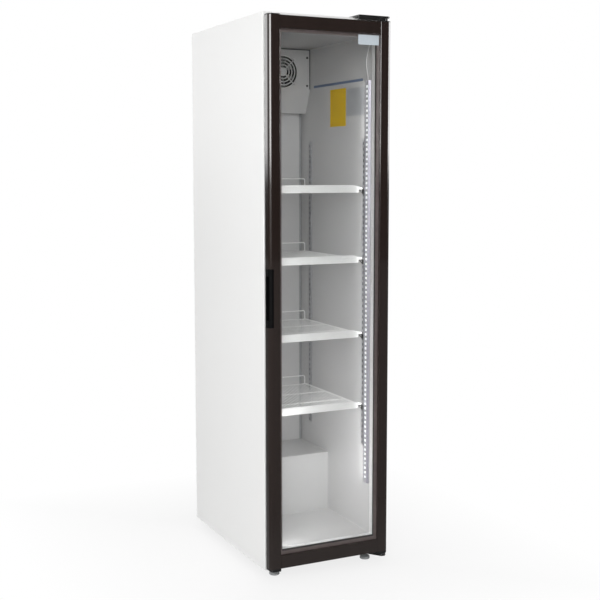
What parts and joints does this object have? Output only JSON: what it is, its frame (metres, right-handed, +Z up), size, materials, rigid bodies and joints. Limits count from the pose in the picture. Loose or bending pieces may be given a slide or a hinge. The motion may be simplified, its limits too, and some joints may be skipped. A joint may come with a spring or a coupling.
{
  "type": "refrigerator",
  "caption": "Narrow upright display refrigerator with one hinged glass door, wire shelves on slotted pilasters, an evaporator housing under the ceiling and a machine compartment below.",
  "frame": {"origin": "On the floor, under the middle of the whole outline with the door shut.", "axes": "The door faces -Y, +Z is up, and the door's hinge side is +X."},
  "size_m": [0.46, 0.705, 1.9148],
  "materials": {
    "back_panel": "powder coated",
    "base_plate": "zinc plated",
    "bottom_hinge_pin": "zinc plated",
    "bottom_hinge_plate": "black painted",
    "compressor": "black enamel",
    "condenser": "mill finish",
    "condenser_fan": "mill finish",
    "condenser_fan_motor": "black enamel",
    "cord_gland": "moulded, satin",
    "discharge_pipe": "bare copper tube",
    "door_gasket": "extruded gasket",
    "door_post_left": "dark brown lacquered profile, glossy",
    "door_post_right": "dark brown lacquered profile, glossy",
    "door_rail_bottom": "dark brown lacquered profile, glossy",
    "door_rail_top": "dark brown lacquered profile, glossy",
    "duct_panel": "pre-painted sheet, semi-gloss",
    "evaporator_coil": "mill finish",
    "evaporator_cover": "pre-painted sheet, semi-gloss",
    "evaporator_fan": "black enamel",
    "evaporator_fan_motor": "black enamel",
    "fan_grille": "moulded, satin",
    "foot_front_left": "moulded, satin",
    "foot_front_right": "moulded, satin",
    "foot_rear_left": "moulded, satin",
    "foot_rear_right": "moulded, satin",
    "front_frame": "powder coated",
    "glass_spacer": "folded spacer bar",
    "handle_grip": "moulded, satin",
    "inner_glass": "clear float glass",
    "inner_liner": "pre-painted sheet, semi-gloss",
    "insulation_foam": "rigid foam",
    "led_cable": "moulded, satin",
    "led_profile": "mill finish",
    "led_strip": "diffuse light strip",
    "left_side_panel": "powder coated",
    "outer_glass": "clear float glass",
    "pilaster_front_left": "zinc plated",
    "pilaster_front_right": "zinc plated",
    "pilaster_rear_left": "zinc plated",
    "pilaster_rear_right": "zinc plated",
    "post_cap_bottom_left": "moulded, satin",
    "post_cap_bottom_right": "moulded, satin",
    "post_cap_top_left": "moulded, satin",
    "post_cap_top_right": "moulded, satin",
    "rear_cover": "zinc plated",
    "right_side_panel": "powder coated",
    "shelf_1": "plastic coated wire",
    "shelf_2": "plastic coated wire",
    "shelf_3": "plastic coated wire",
    "shelf_4": "plastic coated wire",
    "shelf_strip_1": "moulded, satin",
    "shelf_strip_2": "moulded, satin",
    "shelf_strip_3": "moulded, satin",
    "shelf_strip_4": "moulded, satin",
    "thermostat": "moulded, satin",
    "thermostat_knob": "moulded, satin",
    "top_hinge_pin": "zinc plated",
    "top_hinge_plate": "black painted",
    "top_panel": "powder coated"
  },
  "bodies": {
    "cabinet": {"back_panel": "back_panel", "base_plate": "base_plate", "bottom_hinge_pin": "bottom_hinge_pin", "bottom_hinge_plate": "bottom_hinge_plate", "compressor": "compressor", "condenser": "condenser", "condenser_fan_motor": "condenser_fan_motor", "cord_gland": "cord_gland", "discharge_pipe": "discharge_pipe", "duct_panel": "duct_panel", "evaporator_coil": "evaporator_coil", "evaporator_cover": "evaporator_cover", "evaporator_fan_motor": "evaporator_fan_motor", "fan_grille": "fan_grille", "front_frame": "front_frame", "inner_liner": "inner_liner", "insulation_foam": "insulation_foam", "led_cable": "led_cable", "led_profile": "led_profile", "led_strip": "led_strip", "left_side_panel": "left_side_panel", "pilaster_front_left": "pilaster_front_left", "pilaster_front_right": "pilaster_front_right", "pilaster_rear_left": "pilaster_rear_left", "pilaster_rear_right": "pilaster_rear_right", "rear_cover": "rear_cover", "right_side_panel": "right_side_panel", "thermostat": "thermostat", "top_hinge_pin": "top_hinge_pin", "top_hinge_plate": "top_hinge_plate", "top_panel": "top_panel"},
    "door": {"door_gasket": "door_gasket", "door_post_left": "door_post_left", "door_post_right": "door_post_right", "door_rail_bottom": "door_rail_bottom", "door_rail_top": "door_rail_top", "glass_spacer": "glass_spacer", "handle_grip": "handle_grip", "inner_glass": "inner_glass", "outer_glass": "outer_glass", "post_cap_bottom_left": "post_cap_bottom_left", "post_cap_bottom_right": "post_cap_bottom_right", "post_cap_top_left": "post_cap_top_left", "post_cap_top_right": "post_cap_top_right"},
    "shelf_1": {"shelf_1": "shelf_1", "shelf_strip_1": "shelf_strip_1"},
    "shelf_2": {"shelf_2": "shelf_2", "shelf_strip_2": "shelf_strip_2"},
    "shelf_3": {"shelf_3": "shelf_3", "shelf_strip_3": "shelf_strip_3"},
    "shelf_4": {"shelf_4": "shelf_4", "shelf_strip_4": "shelf_strip_4"},
    "thermostat_knob": {"thermostat_knob": "thermostat_knob"},
    "evaporator_fan": {"evaporator_fan": "evaporator_fan"},
    "condenser_fan": {"condenser_fan": "condenser_fan"},
    "foot_front_left": {"foot_front_left": "foot_front_left"},
    "foot_front_right": {"foot_front_right": "foot_front_right"},
    "foot_rear_left": {"foot_rear_left": "foot_rear_left"},
    "foot_rear_right": {"foot_rear_right": "foot_rear_right"}
  },
  "joints": [
    {"name": "door_hinge", "type": "hinge", "parent": "cabinet", "child": "door", "pos_m": [0.215, -0.335, 0.9705], "axis": [0, 0, 1], "range_deg": [0, 110]},
    {"name": "thermostat_turn", "type": "hinge", "parent": "cabinet", "child": "thermostat_knob", "pos_m": [-0.11, 0.1925, 1.755], "axis": [0, -1, 0], "range_deg": [-270, 0]},
    {"name": "evaporator_fan_spin", "type": "hinge", "parent": "cabinet", "child": "evaporator_fan", "pos_m": [0.074, 0.2045, 1.768], "axis": [0, -1, 0], "continuous": true},
    {"name": "condenser_fan_spin", "type": "hinge", "parent": "cabinet", "child": "condenser_fan", "pos_m": [-0.115, 0.2565, 0.1323], "axis": [0, 1, 0], "continuous": true},
    {"name": "shelf_1_lift", "type": "slide", "parent": "cabinet", "child": "shelf_1", "axis": [0, 0, 1], "range_m": [0, 0.03]},
    {"name": "shelf_2_lift", "type": "slide", "parent": "cabinet", "child": "shelf_2", "axis": [0, 0, 1], "range_m": [0, 0.03]},
    {"name": "shelf_3_lift", "type": "slide", "parent": "cabinet", "child": "shelf_3", "axis": [0, 0, 1], "range_m": [0, 0.03]},
    {"name": "shelf_4_lift", "type": "slide", "parent": "cabinet", "child": "shelf_4", "axis": [0, 0, 1], "range_m": [0, 0.03]},
    {"name": "foot_front_left_turn", "type": "hinge", "parent": "cabinet", "child": "foot_front_left", "pos_m": [-0.18, -0.2755, 0.005], "axis": [0, 0, 1], "continuous": true},
    {"name": "foot_rear_left_turn", "type": "hinge", "parent": "cabinet", "child": "foot_rear_left", "pos_m": [-0.18, 0.3075, 0.005], "axis": [0, 0, 1], "continuous": true},
    {"name": "foot_front_right_turn", "type": "hinge", "parent": "cabinet", "child": "foot_front_right", "pos_m": [0.18, -0.2755, 0.005], "axis": [0, 0, 1], "continuous": true},
    {"name": "foot_rear_right_turn", "type": "hinge", "parent": "cabinet", "child": "foot_rear_right", "pos_m": [0.18, 0.3075, 0.005], "axis": [0, 0, 1], "continuous": true}
  ]
}
